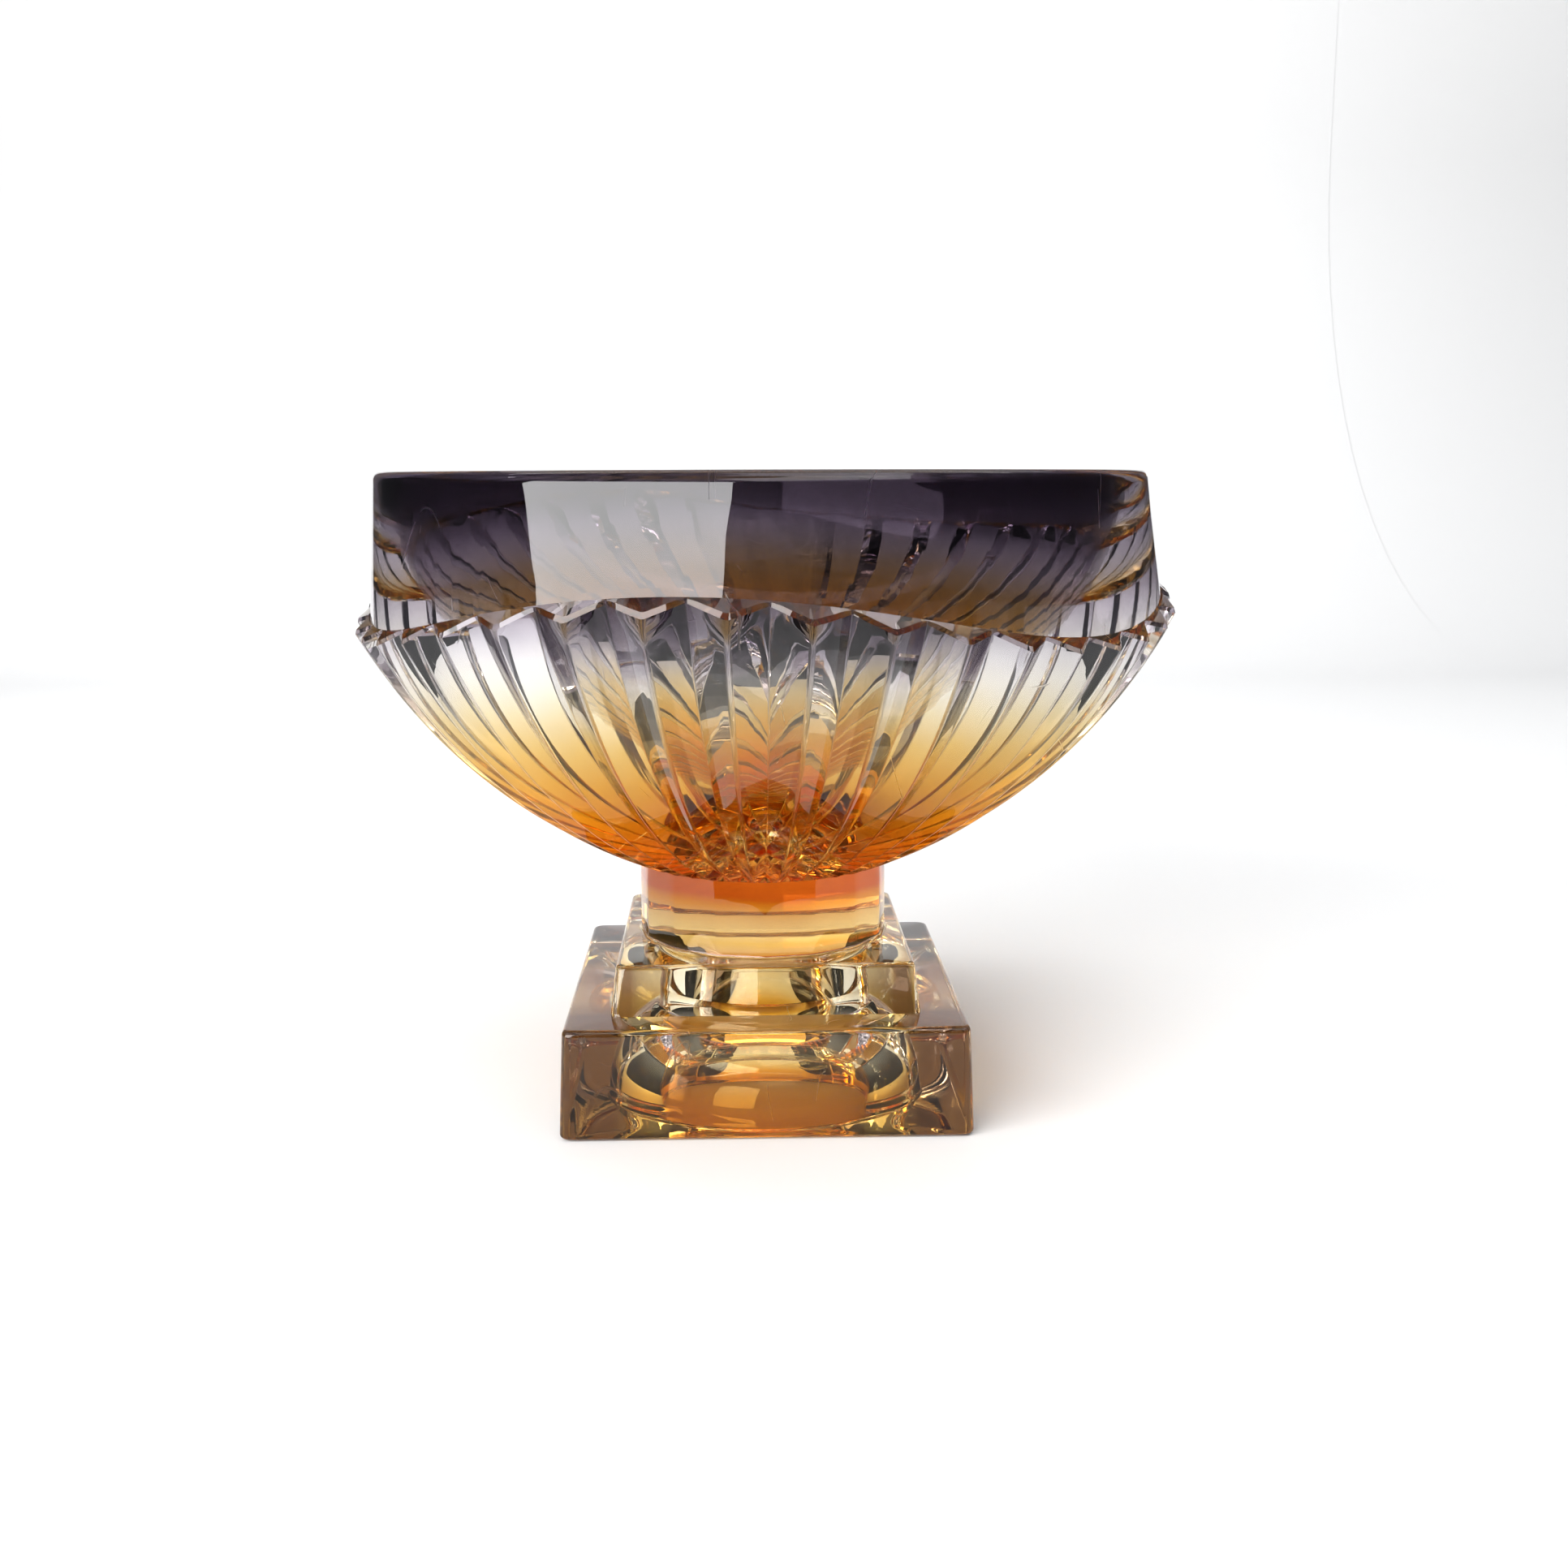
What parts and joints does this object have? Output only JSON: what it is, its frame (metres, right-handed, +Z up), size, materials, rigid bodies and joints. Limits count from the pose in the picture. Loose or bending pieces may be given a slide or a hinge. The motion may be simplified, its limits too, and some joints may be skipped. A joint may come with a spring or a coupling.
{
  "type": "footed glass bowl",
  "caption": "Heavy footed art glass bowl: smooth rim band over a fluted body with a wavy pointed ledge, on a many-sided stem and a stepped square hollow foot.",
  "frame": {"origin": "on the bowl's axis, in the plane that the foot stands on", "axes": "+Z up along the bowl's axis; -Y is the front, square to one side of the foot; +X to the right seen from the front"},
  "size_m": [0.211, 0.2097, 0.1612],
  "materials": {
    "smoky_violet_glass": "fire-polished clear glass with a smoky violet stain",
    "clear_to_amber_glass": "polished glass, clear at the ledge and stained yellow, amber and orange towards the stem",
    "orange_glass": "polished orange-red glass",
    "honey_glass": "polished honey-coloured glass",
    "champagne_glass": "polished pale champagne glass",
    "bronze_glass": "polished pale bronze glass"
  },
  "bodies": {
    "root": {"rim_band": "smoky_violet_glass", "fluted_bowl": "clear_to_amber_glass", "stem_disc": "orange_glass", "stem_collar": "honey_glass", "upper_plinth": "champagne_glass", "lower_plinth": "bronze_glass"}
  },
  "joints": []
}
